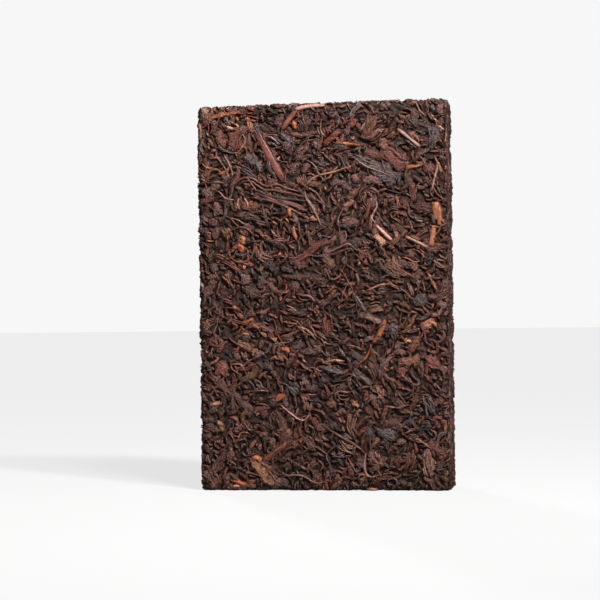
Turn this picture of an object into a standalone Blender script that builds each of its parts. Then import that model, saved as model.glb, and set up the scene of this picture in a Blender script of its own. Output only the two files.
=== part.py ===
"""Pressed pu erh tea brick, standing upright on one short end.

The brick is one solid block. Steamed leaves are pressed in a mould, so the
faces are flat on the whole and the edges are rounded and a little crumbled,
and the surface carries the low swells and creases of the leaves under it.
Metres, +Z up, front face towards -Y, origin at the middle of the base.
"""
import math

import bmesh
import bpy
from mathutils import Vector, noise

# Driving dimensions, in metres
BRICK_WIDTH = 0.0906        # along X
BRICK_THICKNESS = 0.0220    # along Y
BRICK_HEIGHT = 0.1400       # along Z
EDGE_RADIUS = 0.0022        # rounding of all twelve edges
GRID_PITCH = 0.0032         # spacing of the surface grid between the roundings
ARC_MIDDLE = 1 - math.tan(math.radians(22.5))  # grid line halfway round a rounding, in radii

# Relief of the pressed leaves: long low swells that follow the lie of the leaves
LEAF_LENGTH = 0.014         # size of a swell along the lie
LEAF_BREADTH = 0.0065       # size of a swell across the lie
LEAF_RELIEF = 0.00060       # height of a swell, out or in
LIE_ANGLE = math.radians(-50)  # mean lie in the X-Z plane, from upper left to lower right
LIE_SWING = math.radians(55)   # how far the lie turns from place to place
LIE_PATCH = 0.040           # size of the patches that share one lie

# Crumbled edges: bites that only go inwards, and fade out on the flat faces
CRUMB_SPACING = 0.0065      # size of a bite along the edge
CRUMB_DEPTH = 0.0012        # deepest bite
CRUMB_REACH = 0.0045        # how far from the edge the bites are still felt

BASE_BLEND = 0.0045         # height over which the relief dies out above the base

LEAF_BROWN = (0.076, 0.038, 0.030, 1.0)
LEAF_ROUGHNESS = 0.62

HALF_SIZE = Vector((BRICK_WIDTH / 2, BRICK_THICKNESS / 2, BRICK_HEIGHT / 2))
MIDDLE = Vector((0, 0, BRICK_HEIGHT / 2))


def clear_scene():
    """Remove every object, so that only the brick is left."""
    for obj in list(bpy.data.objects):
        bpy.data.objects.remove(obj, do_unlink=True)


def pressed_tea_material():
    """Matt, very dark brown leaf."""
    material = bpy.data.materials.new("pressed_tea")
    material.use_nodes = True
    shader = material.node_tree.nodes["Principled BSDF"]
    shader.inputs["Base Color"].default_value = LEAF_BROWN
    shader.inputs["Roughness"].default_value = LEAF_ROUGHNESS
    shader.inputs["Metallic"].default_value = 0.0
    material.diffuse_color = LEAF_BROWN
    return material


def grid_lines(half_length):
    """Places of the grid lines along one axis, closer together on the roundings."""
    flat = half_length - EDGE_RADIUS
    count = round(2 * flat / GRID_PITCH)
    lines = [-flat + 2 * flat * step / count for step in range(count + 1)]
    arc_line = half_length - ARC_MIDDLE * EDGE_RADIUS
    return [-arc_line] + lines + [arc_line]


def cut_grid(mesh):
    """Cut the box along its grid lines on all three axes."""
    for axis in range(3):
        normal = Vector((0, 0, 0))
        normal[axis] = 1
        for line in grid_lines(HALF_SIZE[axis]):
            geometry = mesh.verts[:] + mesh.edges[:] + mesh.faces[:]
            bmesh.ops.bisect_plane(mesh, geom=geometry, plane_co=normal * line, plane_no=normal)


def rounded(point):
    """Bring a point of the sharp box onto the rounded box; return it and its outward normal."""
    core = Vector(
        max(-half + EDGE_RADIUS, min(half - EDGE_RADIUS, value))
        for value, half in zip(point, HALF_SIZE)
    )
    normal = (point - core).normalized()
    return core + normal * EDGE_RADIUS, normal


def lie_coordinates(point):
    """Distances along and across the local lie of the leaves, and through the brick."""
    patch = noise.noise(Vector((point.x, point.y * 2, point.z)) / LIE_PATCH)
    angle = LIE_ANGLE + LIE_SWING * patch
    along = point.x * math.cos(angle) + point.z * math.sin(angle)
    across = point.z * math.cos(angle) - point.x * math.sin(angle)
    return along, across, point.y


def leaf_relief(point):
    """Height of the leaf swells at a point, in metres, out or in."""
    along, across, through = lie_coordinates(point)
    stretched = Vector((along / LEAF_LENGTH, across / LEAF_BREADTH, through / LEAF_BREADTH))
    return LEAF_RELIEF * noise.fractal(stretched, 0.9, 2.1, 2)


def edge_nearness(point):
    """1 on an edge of the box, falling to 0 at the reach of the crumbling."""
    gaps = sorted(half - abs(value) for value, half in zip(point, HALF_SIZE))
    return max(0.0, 1 - gaps[1] / CRUMB_REACH)


def edge_crumble(point):
    """Depth of the crumbled bites at a point, in metres, never outwards."""
    bite = max(0.0, noise.noise(point / CRUMB_SPACING + Vector((7.3, 1.9, 4.1))) + 0.15)
    return -CRUMB_DEPTH * bite * edge_nearness(point)


def shape_surface(mesh):
    """Round the edges and press the leaf relief into the surface; the base stays flat."""
    for vert in mesh.verts:
        sharp = vert.co.copy()
        point, normal = rounded(sharp)
        height = point.z + HALF_SIZE.z
        fade = max(0.0, min(1.0, height / BASE_BLEND))
        offset = leaf_relief(point) + edge_crumble(sharp)
        vert.co = point + normal * offset * fade + MIDDLE


def centre_on_base(mesh):
    """Slide the block so that the middle of its box lies over the origin."""
    for axis in (0, 1):
        values = [vert.co[axis] for vert in mesh.verts]
        middle = (min(values) + max(values)) / 2
        for vert in mesh.verts:
            vert.co[axis] -= middle


def make_tea_brick():
    """The whole brick: a box, gridded, rounded and pressed."""
    bpy.ops.mesh.primitive_cube_add(size=1.0)
    brick = bpy.context.object
    brick.name = "tea_brick"
    brick.data.name = "tea_brick"
    mesh = bmesh.new()
    mesh.from_mesh(brick.data)
    bmesh.ops.scale(mesh, vec=HALF_SIZE * 2, verts=mesh.verts)
    cut_grid(mesh)
    shape_surface(mesh)
    centre_on_base(mesh)
    bmesh.ops.triangulate(mesh, faces=mesh.faces[:])
    mesh.to_mesh(brick.data)
    mesh.free()
    brick.data.shade_smooth()
    brick.data.materials.append(pressed_tea_material())
    return brick


def main():
    clear_scene()
    brick = make_tea_brick()
    collection = bpy.data.collections.new("pu_erh_tea_brick")
    bpy.context.scene.collection.children.link(collection)
    for other in list(brick.users_collection):
        other.objects.unlink(brick)
    collection.objects.link(brick)


main()
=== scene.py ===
"""Looks of the pressed pu erh tea brick.

A core with the relief of the buried leaves stands in for the plain block, and
leaves, stems, tendrils, tips and crumbs of true size lie over it, one mesh for
each kind. Every leaf is a closed strip that is walked over the rounded bed,
rests on what already lies there, and is pressed down towards the mould plate.
The leaf work is in millimetres; the meshes are written in metres.
"""

import math
from collections import namedtuple

import bmesh
import bpy
import numpy as np
from mathutils import Matrix, Vector


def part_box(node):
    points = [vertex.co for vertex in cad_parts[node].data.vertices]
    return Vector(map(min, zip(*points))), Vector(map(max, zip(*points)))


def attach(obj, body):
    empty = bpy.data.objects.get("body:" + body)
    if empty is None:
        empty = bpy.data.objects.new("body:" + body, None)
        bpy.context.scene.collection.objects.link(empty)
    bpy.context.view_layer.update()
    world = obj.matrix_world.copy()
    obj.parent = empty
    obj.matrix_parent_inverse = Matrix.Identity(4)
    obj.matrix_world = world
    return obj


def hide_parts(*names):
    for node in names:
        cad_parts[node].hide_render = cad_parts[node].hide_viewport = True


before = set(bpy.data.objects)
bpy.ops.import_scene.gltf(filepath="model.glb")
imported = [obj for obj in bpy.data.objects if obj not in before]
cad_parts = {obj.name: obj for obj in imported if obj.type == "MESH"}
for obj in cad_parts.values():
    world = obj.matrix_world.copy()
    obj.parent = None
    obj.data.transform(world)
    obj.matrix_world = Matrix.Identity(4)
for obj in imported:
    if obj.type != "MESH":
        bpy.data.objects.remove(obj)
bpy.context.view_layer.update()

MM = 0.001
BRICK_NODE = "tea_brick"
BODY = "root"

# ---------------------------------------------------------------- the bed that the leaves lie on

CELL = 0.3              # pitch of the height map, mm
BED_DEPTH = (0.90, 0.90, 0.60)  # from the block's outermost points down to the bed, mm
BED_DROP = 0.5          # the bed stands low, because the base is pressed flat on the table, mm
BED_RADIUS = 1.2        # rounding of the bed's edges, mm
MAP_MARGIN = 4.5        # empty cells round the map; the half puts the flat sides in mid cell

box_low, box_high = (np.array(corner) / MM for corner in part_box(BRICK_NODE))
BED_MIDDLE = (box_low + box_high) / 2
BED_MIDDLE[2] -= BED_DROP
BED_HALF = np.floor(((box_high - box_low) / 2 - BED_DEPTH) / CELL) * CELL
MAP_SHAPE = tuple(int(round(2 * half / CELL + 2 * MAP_MARGIN + 1)) for half in BED_HALF)
heights = np.zeros(int(np.prod(MAP_SHAPE)), np.float32)
tint_map = np.zeros((heights.size, 3), np.float32)

# ---------------------------------------------------------------- how leaves lie and are pressed

LIE_ANGLE = math.radians(-48)    # mean lie on the faces, from upper left to lower right
LIE_WAVES = (                    # (swing in radians, wave vector in 1/mm over x y z, phase)
    (0.60, (0.085, 0.10, 0.045), 0.4),
    (0.60, (-0.050, 0.13, 0.110), 2.1),
    (0.55, (0.160, -0.07, -0.090), 4.4),
    (0.50, (0.030, 0.20, 0.210), 1.2),
    (0.45, (0.270, 0.15, 0.120), 5.3),
    (0.40, (-0.310, 0.10, 0.260), 3.0),
)
REGION_WAVES = (                 # slow changes of tone over the brick, as above
    (0.10, (0.150, 0.20, 0.060), 1.1),
    (0.09, (-0.090, 0.15, 0.190), 3.3),
    (0.08, (0.310, 0.25, -0.230), 0.2),
    (0.07, (0.450, -0.20, 0.370), 5.0),
)
# painted shade: the brick is darkened towards the foot, where less light reaches it
FOOT_PAINTED_SHADE = 0.15                  # the foot is this much darker than the rest,
FOOT_HEIGHT = 55                  # from this height down, mm
NARROW_WIDTH = 0.55              # leaves on the narrow sides are seen edge on
NARROW_STRAY = 0.40
NARROW_SIDE_PAINTED_SHADE = 0.60                # painted shade: the narrow sides, seen edge on, are darkened to this share
CHOICES = 3                      # places tried for each leaf, the lowest is taken
PRESS_ROOM = 1.0                 # the pile sinks together until a leaf's foot is at most this high, mm
LAID_SINK = 0.14                 # listed leaves sink this far into what is below, mm
BUNDLE_STEP = 0.66               # strips of one folded leaf lie this part of their width apart
MOULD_ROOM = (0.80, 1.00, 0.98)  # free height over the bed up to the mould walls, along X, Y and Z, mm
MOULD_GIVE = (0.45, 0.40, 0.40)  # share of what stands beyond the mould walls that springs back
TOP_SLOPE = 0.009                # the top rises this much to the right, so it is not quite square
FLOOR_GAP = 0.02                 # nothing reaches below the table, mm
CREVICE_SHADE_REACH = 0.75              # how far round a point its neighbours are looked at, mm
CREVICE_SHADE_DEPTH = 0.52              # this far below its neighbours a point is fully in painted shade, mm
CREVICE_PAINTED_SHADE = (0.79, 0.95, 0.97)  # painted shade of leaf deep in a crevice, in red, green and blue
STIFFNESS = {"stems": 0.95, "tendrils": 0.55, "broad_leaves": 0.5}  # share of a leaf's mean bed, else 0.4
THROUGH_SHARE = 0.12             # leaves also lean this much through the thickness of the brick
WARM_WAVE = (0.05, (0.11, 0.30, -0.14), 2.0)  # slow change between redder and greyer, as above
STAMP_PITCH = (0.24, 0.20)       # spacing of the points stamped into the height map, mm
HAND_LAID_TURN = 10              # listed leaves come after every other layer
UNDERSIDE = -0.35                # depth of a leaf's underside against its thickness
FLECKS = 0.17                    # spread of the tone within one leaf
TORN_SHARE = 0.25                # spread of a leaf's torn ends against its raggedness
FOLD_SHARE = 0.6                 # height of the folds across a leaf against the ridges along it
VALLEY_PAINTED_SHADE = (0.54, 0.71, 0.76)  # painted shade in a leaf's own valleys and on its rims, against its ridges

rng = np.random.default_rng(250)


def paint(red, green, blue):
    """Linear colour of an sRGB colour given from 0 to 255."""
    values = np.array((red, green, blue)) / 255
    return np.where(values <= 0.04045, values / 12.92, ((values + 0.055) / 1.055) ** 2.4)


TINTS = {
    "charcoal": paint(68, 51, 47),
    "ink": paint(57, 38, 32),
    "slate": paint(90, 76, 75),
    "plum": paint(112, 78, 72),
    "bark": paint(110, 75, 61),
    "umber": paint(91, 58, 46),
    "hazel": paint(114, 77, 56),
    "russet": paint(126, 77, 60),
    "brick_red": paint(118, 66, 56),
    "dusk_red": paint(104, 58, 49),
    "fawn": paint(138, 106, 93),
    "tan": paint(160, 115, 91),
    "amber": paint(162, 104, 76),
    "orange": paint(174, 101, 64),
    "gold": paint(158, 111, 76),
    "straw": paint(200, 150, 120),
    "rose_tan": paint(180, 136, 121),
}

# Each kind: how many, strips side by side in one folded leaf, ranges of size in mm, points across
# the upper and the under side, slices along, breadth of the tips, raggedness, steady turn and
# swing in radians per mm, length of the swing in mm, stray from the lie in radians, ridges along the leaf
# and their depth, how late it is laid, and its tints with their shares.
LeafKind = namedtuple("LeafKind", (
    "name", "count", "bundle", "length", "width", "thickness", "top", "under", "slices",
    "tip", "ragged", "turn", "wave", "wave_length", "stray", "ridges", "ridge_depth", "layer", "tints",
))

LEAF_KINDS = (
    LeafKind("under_leaves", 1700, 1, (2.5, 7.0), (0.9, 1.9), (0.40, 0.70), 3, 1, 6,
             (0.3, 0.8), 0.35, 0.15, 0.20, 7, 0.80, 0.30, 0.30, -1.2,
             (("umber", 5), ("ink", 2), ("dusk_red", 2), ("bark", 3), ("charcoal", 3), ("hazel", 1))),
    LeafKind("rolled_dark_leaves", 1080, 1, (2.2, 7.8), (0.8, 2.0), (0.45, 0.85), 7, 1, 8,
             (0.2, 0.8), 0.35, 0.18, 0.28, 6, 0.70, 0.85, 0.55, 0.0,
             (("charcoal", 4), ("ink", 3), ("slate", 3), ("umber", 4))),
    LeafKind("rolled_brown_leaves", 1080, 1, (2.0, 7.6), (0.8, 2.0), (0.45, 0.85), 7, 1, 8,
             (0.2, 0.8), 0.35, 0.18, 0.30, 6, 0.70, 0.90, 0.55, 0.0,
             (("plum", 3), ("bark", 4), ("umber", 5), ("dusk_red", 2), ("ink", 1), ("hazel", 2))),
    LeafKind("leaf_folds", 800, 4, (3.0, 9.0), (0.9, 1.6), (0.40, 0.70), 7, 1, 8,
             (0.2, 0.7), 0.55, 0.12, 0.20, 8, 0.75, 0.70, 0.45, 0.20,
             (("umber", 4), ("bark", 4), ("plum", 3), ("charcoal", 2), ("dusk_red", 2), ("slate", 1),
              ("hazel", 2))),
    LeafKind("broad_leaves", 760, 1, (3.2, 8.5), (1.8, 4.2), (0.40, 0.75), 9, 1, 10,
             (0.4, 0.9), 0.60, 0.08, 0.12, 8, 0.80, 1.8, 0.46, 0.58,
             (("umber", 4), ("bark", 3), ("plum", 4), ("charcoal", 3), ("dusk_red", 3), ("slate", 1),
              ("hazel", 1))),
    LeafKind("russet_leaves", 600, 1, (1.8, 6.0), (0.7, 1.9), (0.40, 0.70), 7, 1, 6,
             (0.3, 0.9), 0.45, 0.18, 0.25, 7, 0.80, 0.85, 0.50, 0.0,
             (("russet", 3), ("brick_red", 4), ("dusk_red", 6), ("fawn", 1), ("bark", 2), ("hazel", 2))),
    LeafKind("stems", 45, 1, (4.0, 10.0), (0.8, 1.1), (0.60, 0.85), 5, 3, 8,
             (0.75, 0.95), 0.16, 0.02, 0.03, 12, 0.80, 0.8, 0.12, 0.40,
             (("rose_tan", 1), ("fawn", 3), ("plum", 4), ("dusk_red", 3))),
    LeafKind("tendrils", 240, 1, (6.0, 17.0), (0.60, 1.00), (0.45, 0.65), 5, 1, 20,
             (0.3, 0.7), 0.20, 0.06, 0.30, 8, 0.60, 0.60, 0.32, 0.80,
             (("bark", 5), ("umber", 5), ("plum", 4), ("fawn", 1), ("dusk_red", 3), ("hazel", 1))),
    LeafKind("fine_strands", 480, 3, (2.0, 6.0), (0.40, 0.65), (0.35, 0.60), 3, 1, 8,
             (0.3, 0.7), 0.30, 0.18, 0.34, 5, 0.80, 0.30, 0.20, 0.35,
             (("bark", 4), ("umber", 4), ("plum", 3), ("fawn", 2), ("slate", 2), ("dusk_red", 1))),
    LeafKind("golden_tips", 300, 1, (1.2, 3.2), (0.6, 1.3), (0.35, 0.55), 5, 1, 6,
             (0.2, 0.7), 0.50, 0.20, 0.25, 5, 0.80, 0.7, 0.45, 0.15,
             (("orange", 3), ("tan", 3), ("gold", 2), ("russet", 8))),
    LeafKind("crumbs", 900, 1, (0.8, 2.0), (0.6, 1.2), (0.40, 0.70), 5, 1, 4,
             (0.4, 0.9), 0.40, 0.30, 0.30, 4, 1.20, 0.6, 0.55, 0.10,
             (("umber", 5), ("bark", 4), ("charcoal", 2), ("dusk_red", 2), ("fawn", 1), ("ink", 2),
              ("hazel", 2))),
)
KIND = {kind.name: kind for kind in LEAF_KINDS}

BURIED_KIND = LeafKind("buried_leaves", 5200, 1, (3.0, 8.0), (0.8, 1.8), (0.40, 0.65), 5, 1, 8,
                       (0.2, 0.8), 0.35, 0.15, 0.20, 7, 0.60, 0.7, 0.50, 0.0,
                       (("umber", 5), ("ink", 4), ("dusk_red", 2), ("bark", 3), ("charcoal", 2)))

# Leaves laid one by one on the front face: kind, tint, breadth, then points in mm from the
# face's middle line and above the table.
HAND_LAID = (
    ("rolled_dark_leaves", "slate", 2.4, ((-23.7, 119.7), (-21.5, 115.6))),
    ("broad_leaves", "charcoal", 2.2, ((-19.6, 118.9), (-16.4, 112.9))),
    ("stems", "brick_red", 3.3, ((-23.6, 130.6), (-18.9, 121.9), (-14.0, 112.6))),
    # painted highlight: this pale strip along the stick's right edge stands for its lit flank
    ("tendrils", "fawn", 0.8, ((-22.6, 130.2), (-17.9, 121.5), (-13.4, 113.0))),
    ("broad_leaves", "amber", 2.2, ((-27.1, 136.0), (-24.6, 130.0))),
    ("broad_leaves", "amber", 2.0, ((-40.4, 136.3), (-29.3, 137.7))),
    ("broad_leaves", "bark", 4.8, ((-43.0, 139.6), (-42.0, 133.4))),
    ("broad_leaves", "fawn", 2.2, ((-43.6, 139.4), (-41.0, 137.4))),
    ("broad_leaves", "tan", 1.9, ((-44.4, 134.2), (-44.5, 128.0))),
    ("stems", "russet", 2.3, ((-14.2, 130.6), (-8.3, 138.2))),
    ("stems", "rose_tan", 1.6, ((-9.2, 137.8), (-4.0, 138.9), (1.9, 139.3))),
    ("golden_tips", "orange", 2.2, ((-9.7, 133.8), (-9.3, 130.8))),
    ("broad_leaves", "dusk_red", 5.6, ((-30.8, 130.8), (-30.8, 123.4))),
    ("tendrils", "bark", 0.9, ((-30.3, 122.9), (-33.5, 122.8), (-35.8, 124.6))),
    ("tendrils", "tan", 0.9, ((-28.5, 129.6), (-27.3, 127.2), (-28.4, 125.0), (-30.6, 122.6))),
    ("golden_tips", "straw", 1.3, ((-34.4, 132.6), (-31.8, 131.4))),
    ("golden_tips", "straw", 1.0, ((-31.6, 133.4), (-29.8, 132.4))),
    ("rolled_dark_leaves", "slate", 2.6, ((-14.7, 129.2), (-9.2, 125.4))),
    ("rolled_brown_leaves", "fawn", 1.3, ((-8.5, 122.2), (-6.3, 124.1))),
    ("tendrils", "bark", 1.0, ((-38.2, 121.9), (-35.5, 118.0), (-33.4, 113.5))),
    ("tendrils", "fawn", 0.8, ((-35.5, 122.3), (-33.6, 119.5), (-32.2, 114.5))),
    ("tendrils", "hazel", 0.9, ((-41.7, 113.7), (-41.1, 117.0), (-38.3, 117.5), (-36.1, 115.2))),
    ("tendrils", "bark", 0.9, ((-41.1, 112.1), (-38.4, 112.7), (-35.6, 112.0))),
    ("broad_leaves", "plum", 2.2, ((-23.6, 108.0), (-14.6, 105.0), (-5.8, 101.8))),
    ("tendrils", "ink", 1.4, ((-28.0, 109.6), (-24.0, 109.4), (-19.6, 107.2), (-13.0, 105.8), (-5.6, 104.6))),
    ("tendrils", "umber", 1.4, ((-26.0, 106.6), (-19.6, 105.4), (-12.0, 102.6), (-6.0, 99.0), (-2.2, 97.4))),
    ("tendrils", "umber", 1.3, ((-31.0, 110.6), (-28.6, 112.4), (-26.0, 112.8), (-23.6, 111.0),
                                (-20.8, 108.9), (-17.4, 109.2), (-13.2, 108.1), (-8.6, 106.9),
                                (-5.4, 106.2))),
    ("tendrils", "plum", 1.0, ((-32.6, 110.8), (-29.5, 113.4), (-26.2, 114.2), (-22.9, 112.2),
                               (-20.5, 110.2), (-17.9, 110.7), (-15.7, 111.2), (-13.0, 109.5), (-8.6, 108.3),
                               (-5.9, 107.7))),
    ("tendrils", "tan", 1.1, ((-6.1, 109.8), (-2.3, 113.6), (4.4, 114.6), (11.3, 116.8))),
    ("tendrils", "fawn", 1.2, ((-6.1, 109.0), (-5.6, 105.6), (-2.8, 102.6), (-0.1, 95.5))),
    ("stems", "rose_tan", 1.5, ((28.0, 129.7), (36.2, 122.9))),
    ("rolled_dark_leaves", "slate", 1.6, ((30.4, 125.8), (35.0, 122.4))),
    ("broad_leaves", "charcoal", 4.4, ((31.8, 133.0), (39.0, 128.6))),
    ("broad_leaves", "brick_red", 6.4, ((21.6, 121.4), (30.8, 116.6))),
    ("golden_tips", "orange", 1.5, ((5.6, 125.8), (13.3, 124.3))),
    ("broad_leaves", "slate", 4.4, ((12.6, 119.6), (20.6, 116.0))),
    ("broad_leaves", "slate", 6.0, ((18.6, 116.8), (27.6, 111.0))),
    ("tendrils", "fawn", 0.6, ((12.0, 120.0), (16.5, 116.4), (22.4, 114.3), (27.5, 111.4))),
    ("broad_leaves", "slate", 4.2, ((42.0, 130.6), (39.8, 122.2))),
    ("broad_leaves", "bark", 4.6, ((19.5, 134.5), (16.0, 126.5))),
    ("stems", "rose_tan", 1.1, ((42.7, 117.3), (40.0, 106.8))),
    ("golden_tips", "orange", 1.6, ((30.5, 115.5), (36.7, 116.2))),
    ("tendrils", "straw", 0.8, ((40.4, 134.2), (41.8, 132.9), (42.2, 130.4))),
    ("tendrils", "rose_tan", 0.8, ((42.6, 130.2), (43.6, 129.8), (44.5, 128.2))),
    ("golden_tips", "tan", 1.1, ((-30.2, 106.4), (-30.8, 104.4), (-30.0, 102.8))),
    ("golden_tips", "tan", 1.0, ((-28.2, 106.6), (-27.2, 104.9), (-26.6, 102.8))),
    ("russet_leaves", "brick_red", 3.0, ((-39.0, 105.4), (-37.4, 101.4))),
    ("rolled_dark_leaves", "charcoal", 1.3, ((-21.7, 104.0), (-20.4, 99.6), (-19.2, 95.1))),
    ("golden_tips", "orange", 1.8, ((-12.0, 102.4), (-11.3, 99.2))),
    ("golden_tips", "gold", 2.2, ((-4.3, 98.8), (-1.4, 97.8))),
    ("golden_tips", "gold", 2.6, ((-29.5, 93.0), (-28.4, 89.6))),
    ("golden_tips", "orange", 2.4, ((-30.4, 89.8), (-28.8, 86.4))),
    ("tendrils", "bark", 0.9, ((-34.2, 88.0), (-33.6, 84.2), (-29.2, 82.6), (-25.2, 85.0), (-24.6, 90.0))),
    ("tendrils", "umber", 1.0, ((-35.4, 92.0), (-32.6, 95.6), (-27.6, 95.8), (-24.4, 92.2))),
    ("rolled_dark_leaves", "charcoal", 2.0, ((-32.2, 86.6), (-29.4, 85.0), (-26.8, 86.4))),
    ("russet_leaves", "brick_red", 1.9, ((-39.7, 86.0), (-34.0, 82.4), (-29.4, 79.2))),
    ("broad_leaves", "charcoal", 2.4, ((-20.6, 91.0), (-13.4, 88.0))),
    ("broad_leaves", "brick_red", 2.7, ((-9.6, 82.0), (-4.0, 87.0), (2.5, 91.1))),
    ("rolled_dark_leaves", "slate", 1.5, ((-5.2, 93.8), (-4.2, 88.1))),
    ("golden_tips", "orange", 1.2, ((-10.4, 96.1), (-9.1, 90.7))),
    ("tendrils", "rose_tan", 0.75, ((20.0, 104.3), (20.7, 102.1), (17.9, 98.2), (19.9, 96.0))),
    ("stems", "rose_tan", 1.6, ((19.9, 95.3), (25.7, 89.6))),
    ("broad_leaves", "straw", 2.6, ((19.6, 92.0), (22.4, 88.0))),
    ("golden_tips", "tan", 1.8, ((21.8, 90.6), (23.6, 88.0))),
    ("golden_tips", "rose_tan", 2.0, ((26.9, 93.4), (27.5, 89.8))),
    ("russet_leaves", "bark", 1.9, ((30.9, 93.5), (27.6, 90.0), (23.8, 87.0))),
    ("stems", "rose_tan", 1.5, ((30.5, 91.1), (38.4, 86.9))),
    ("stems", "amber", 2.3, ((40.8, 94.8), (39.6, 87.2))),
    ("stems", "amber", 3.6, ((41.4, 103.2), (41.9, 96.6))),
    ("stems", "amber", 2.2, ((42.6, 101.8), (42.8, 94.4))),
    ("stems", "dusk_red", 1.7, ((18.4, 105.1), (16.0, 97.3))),
    ("tendrils", "fawn", 0.9, ((1.9, 85.5), (6.7, 87.9), (9.8, 89.2), (12.0, 87.3), (13.1, 86.2))),
    ("tendrils", "bark", 0.8, ((3.4, 84.6), (7.6, 86.4), (10.6, 87.6), (11.6, 85.6))),
    ("broad_leaves", "bark", 5.6, ((23.6, 82.4), (28.6, 77.2))),
    ("golden_tips", "orange", 1.2, ((38.1, 78.5), (41.7, 71.4))),
    ("tendrils", "tan", 1.1, ((15.9, 71.9), (20.2, 73.6), (24.8, 74.2))),
    ("rolled_brown_leaves", "umber", 1.2, ((-41.1, 65.8), (-37.0, 63.4), (-29.0, 60.7), (-22.0, 58.6))),
    ("golden_tips", "orange", 1.8, ((-31.4, 64.6), (-29.0, 62.4))),
    ("russet_leaves", "orange", 1.7, ((-29.6, 60.6), (-25.4, 62.6))),
    ("golden_tips", "brick_red", 2.2, ((-27.4, 65.4), (-24.4, 63.4))),
    ("golden_tips", "orange", 1.5, ((-33.2, 61.6), (-31.0, 59.4))),
    ("golden_tips", "orange", 1.7, ((-32.8, 67.4), (-31.2, 65.8))),
    ("golden_tips", "amber", 1.5, ((-35.0, 60.8), (-33.4, 62.8))),
    ("golden_tips", "orange", 1.6, ((-26.2, 61.0), (-23.2, 58.4))),
    ("golden_tips", "amber", 1.4, ((-22.6, 57.6), (-20.6, 55.8))),
    ("golden_tips", "orange", 1.6, ((-30.0, 57.6), (-27.2, 56.8))),
    ("russet_leaves", "brick_red", 2.0, ((-28.4, 59.0), (-23.4, 60.6))),
    ("golden_tips", "orange", 2.2, ((-15.2, 51.6), (-12.0, 50.2))),
    ("golden_tips", "orange", 1.9, ((-16.3, 49.0), (-14.6, 47.0))),
    ("golden_tips", "gold", 1.7, ((-19.0, 55.4), (-17.0, 54.0))),
    ("golden_tips", "orange", 2.6, ((-17.6, 32.8), (-13.8, 35.2))),
    ("broad_leaves", "brick_red", 3.7, ((-39.9, 43.6), (-35.1, 43.8))),
    ("broad_leaves", "dusk_red", 5.0, ((-41.4, 55.6), (-37.0, 51.4))),
    ("tendrils", "fawn", 0.9, ((-9.9, 59.6), (-5.0, 58.1), (-2.5, 54.4))),
    ("rolled_dark_leaves", "slate", 2.2, ((11.8, 70.4), (15.6, 64.2))),
    ("broad_leaves", "fawn", 2.0, ((15.7, 62.8), (21.2, 60.2))),
    ("golden_tips", "orange", 2.3, ((17.6, 52.8), (20.4, 55.6), (22.8, 61.2))),
    ("tendrils", "orange", 0.8, ((12.6, 45.6), (15.6, 47.2), (17.6, 52.2))),
    ("golden_tips", "straw", 1.8, ((29.6, 54.2), (32.2, 53.4))),
    ("golden_tips", "tan", 1.5, ((38.4, 60.4), (40.4, 60.2), (41.0, 58.4))),
    ("tendrils", "tan", 1.1, ((0.3, 46.4), (4.2, 47.2), (8.0, 46.7))),
    ("broad_leaves", "slate", 4.0, ((24.2, 59.8), (26.6, 55.0))),
    ("broad_leaves", "brick_red", 4.6, ((37.6, 48.2), (41.6, 43.8))),
    ("golden_tips", "tan", 2.0, ((19.6, 37.4), (20.8, 33.4))),
    ("golden_tips", "orange", 1.4, ((21.8, 36.6), (21.4, 33.0))),
    ("broad_leaves", "umber", 3.3, ((-42.5, 42.3), (-37.0, 38.0), (-31.2, 33.0), (-25.7, 28.7))),
    ("tendrils", "rose_tan", 0.9, ((-15.7, 31.1), (-11.4, 27.4), (-7.7, 24.7), (-5.1, 27.4))),
    ("golden_tips", "tan", 1.8, ((-41.9, 31.0), (-37.5, 32.0))),
    ("golden_tips", "gold", 2.8, ((-39.0, 25.6), (-37.2, 21.4))),
    ("broad_leaves", "umber", 4.0, ((-16.5, 27.2), (-13.8, 19.5), (-17.7, 13.0), (-27.6, 9.4))),
    ("rolled_dark_leaves", "slate", 2.4, ((-1.6, 44.6), (7.6, 42.6))),
    ("rolled_dark_leaves", "slate", 2.2, ((10.4, 42.8), (17.6, 38.2))),
    ("broad_leaves", "bark", 7.0, ((-26.8, 11.6), (-18.4, 2.6))),
    ("broad_leaves", "gold", 3.0, ((-26.6, 10.4), (-21.0, 5.0))),
    ("broad_leaves", "tan", 2.4, ((-23.6, 4.4), (-18.8, 2.2))),
    ("golden_tips", "orange", 2.4, ((-26.4, 12.4), (-22.4, 10.8))),
    ("golden_tips", "orange", 2.2, ((-34.6, 3.8), (-28.6, 2.0))),
    ("golden_tips", "straw", 1.4, ((-33.8, 1.8), (-31.2, 1.6))),
    ("russet_leaves", "russet", 2.2, ((-22.6, 10.5), (-13.7, 17.3))),
    ("tendrils", "bark", 1.0, ((-13.8, 11.6), (-8.4, 8.8), (-6.2, 7.2), (-2.0, 10.4))),
    ("tendrils", "fawn", 1.0, ((-16.5, 5.0), (-8.5, 6.1), (-3.2, 2.1), (0.7, 3.6))),
    ("tendrils", "bark", 1.0, ((-9.0, 12.2), (-5.6, 15.5), (-3.0, 16.2), (1.3, 12.6))),
    ("broad_leaves", "bark", 5.6, ((-43.2, 7.6), (-39.6, 1.6))),
    ("tendrils", "bark", 1.0, ((0.0, 23.0), (6.2, 19.4), (12.1, 16.1), (15.0, 13.4))),
    ("tendrils", "fawn", 1.1, ((15.0, 13.4), (14.4, 7.1), (16.3, 4.6), (19.7, 5.7))),
    ("broad_leaves", "fawn", 5.0, ((37.2, 15.0), (38.2, 5.0))),
    ("golden_tips", "tan", 1.2, ((33.9, 18.5), (36.2, 17.0), (38.6, 15.3))),
    ("tendrils", "tan", 1.0, ((21.9, 30.4), (27.4, 29.6), (30.7, 30.9))),
    ("broad_leaves", "bark", 5.4, ((16.6, 14.0), (21.2, 8.8))),
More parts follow.
